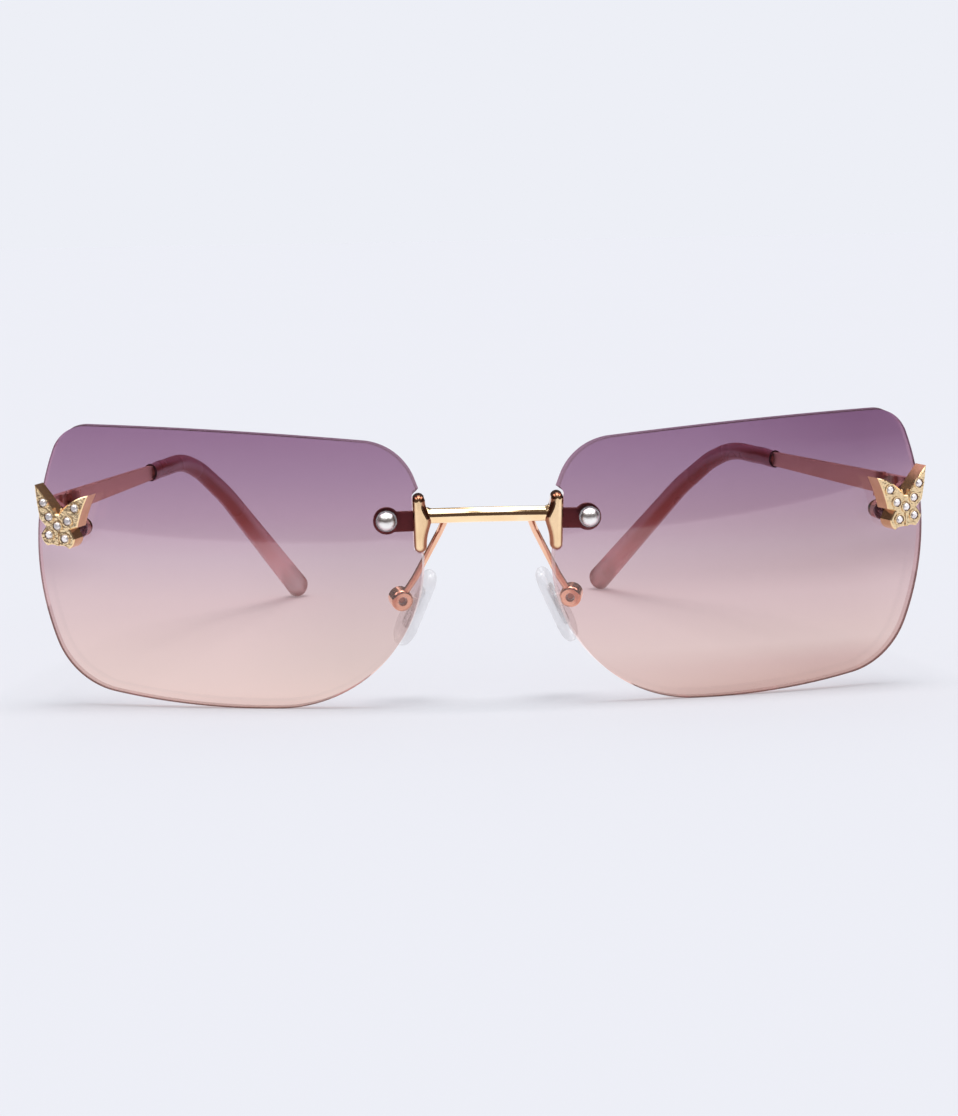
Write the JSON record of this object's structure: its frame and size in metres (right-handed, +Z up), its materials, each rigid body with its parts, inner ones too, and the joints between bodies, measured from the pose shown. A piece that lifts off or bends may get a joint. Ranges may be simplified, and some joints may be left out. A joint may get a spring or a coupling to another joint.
{
  "type": "rimless sunglasses",
  "caption": "Rimless sunglasses with large tinted square lenses, a gold bridge, jewelled butterfly hinge ornaments, folding temples with soft ear tips, and rocking clear nose pads.",
  "frame": {"origin": "centre of the footprint on the table, below the middle of the head space", "axes": "+X to the wearer's left, +Y back along the temples, +Z up; the lenses face -Y"},
  "size_m": [0.1422, 0.1466, 0.0455],
  "materials": {
    "tinted_lens": "polished, tinted purple at the top to peach at the bottom",
    "polished_gold": "polished gold plate",
    "pale_gold": "satin face, polished walls",
    "rose_gold": "polished rose gold plate",
    "polished_silver": "polished",
    "steel": "fine turned steel",
    "crystal": "cut and foiled",
    "clear_plastic": "clear",
    "clear_pad": "soft clear",
    "pink_translucent": "smooth, translucent"
  },
  "bodies": {
    "front": {"bridge_bar": "polished_gold", "left_lens": "tinted_lens", "left_edge_plate": "polished_gold", "left_lens_lug": "polished_gold", "left_bridge_bushing": "clear_plastic", "left_bridge_screw": "polished_silver", "left_bridge_nut": "steel", "left_pad_arm": "rose_gold", "left_pad_box": "rose_gold", "left_pad_screw": "steel", "left_butterfly": "pale_gold", "left_crystals": "crystal", "left_endpiece": "rose_gold", "left_endpiece_bushing": "clear_plastic", "left_cap_nut": "rose_gold", "left_hinge_front_leaf": "rose_gold", "left_hinge_screw": "steel", "right_lens": "tinted_lens", "right_edge_plate": "polished_gold", "right_lens_lug": "polished_gold", "right_bridge_bushing": "clear_plastic", "right_bridge_screw": "polished_silver", "right_bridge_nut": "steel", "right_pad_arm": "rose_gold", "right_pad_box": "rose_gold", "right_pad_screw": "steel", "right_butterfly": "pale_gold", "right_crystals": "crystal", "right_endpiece": "rose_gold", "right_endpiece_bushing": "clear_plastic", "right_cap_nut": "rose_gold", "right_hinge_front_leaf": "rose_gold", "right_hinge_screw": "steel"},
    "left_temple_side": {"left_temple": "rose_gold", "left_temple_tip": "pink_translucent", "left_hinge_temple_leaf": "rose_gold"},
    "right_temple_side": {"right_temple": "rose_gold", "right_temple_tip": "pink_translucent", "right_hinge_temple_leaf": "rose_gold"},
    "left_pad": {"left_nose_pad": "clear_pad", "left_pad_core": "steel"},
    "right_pad": {"right_nose_pad": "clear_pad", "right_pad_core": "steel"}
  },
  "joints": [
    {"name": "left_temple_fold", "type": "hinge", "parent": "front", "child": "left_temple_side", "pos_m": [0.06568, -0.05126, 0.03215], "axis": [0, 0, 1], "range_deg": [0, 75]},
    {"name": "right_temple_fold", "type": "hinge", "parent": "front", "child": "right_temple_side", "pos_m": [-0.06568, -0.05126, 0.03215], "axis": [0, 0, -1], "range_deg": [0, 70]},
    {"name": "left_pad_rock", "type": "hinge", "parent": "front", "child": "left_pad", "pos_m": [0.0136, -0.06282, 0.01675], "axis": [0.22, 0.9531, 0.2079], "range_deg": [-10, 10]},
    {"name": "right_pad_rock", "type": "hinge", "parent": "front", "child": "right_pad", "pos_m": [-0.0136, -0.06282, 0.01675], "axis": [0.22, -0.9531, -0.2079], "range_deg": [-10, 10]}
  ]
}
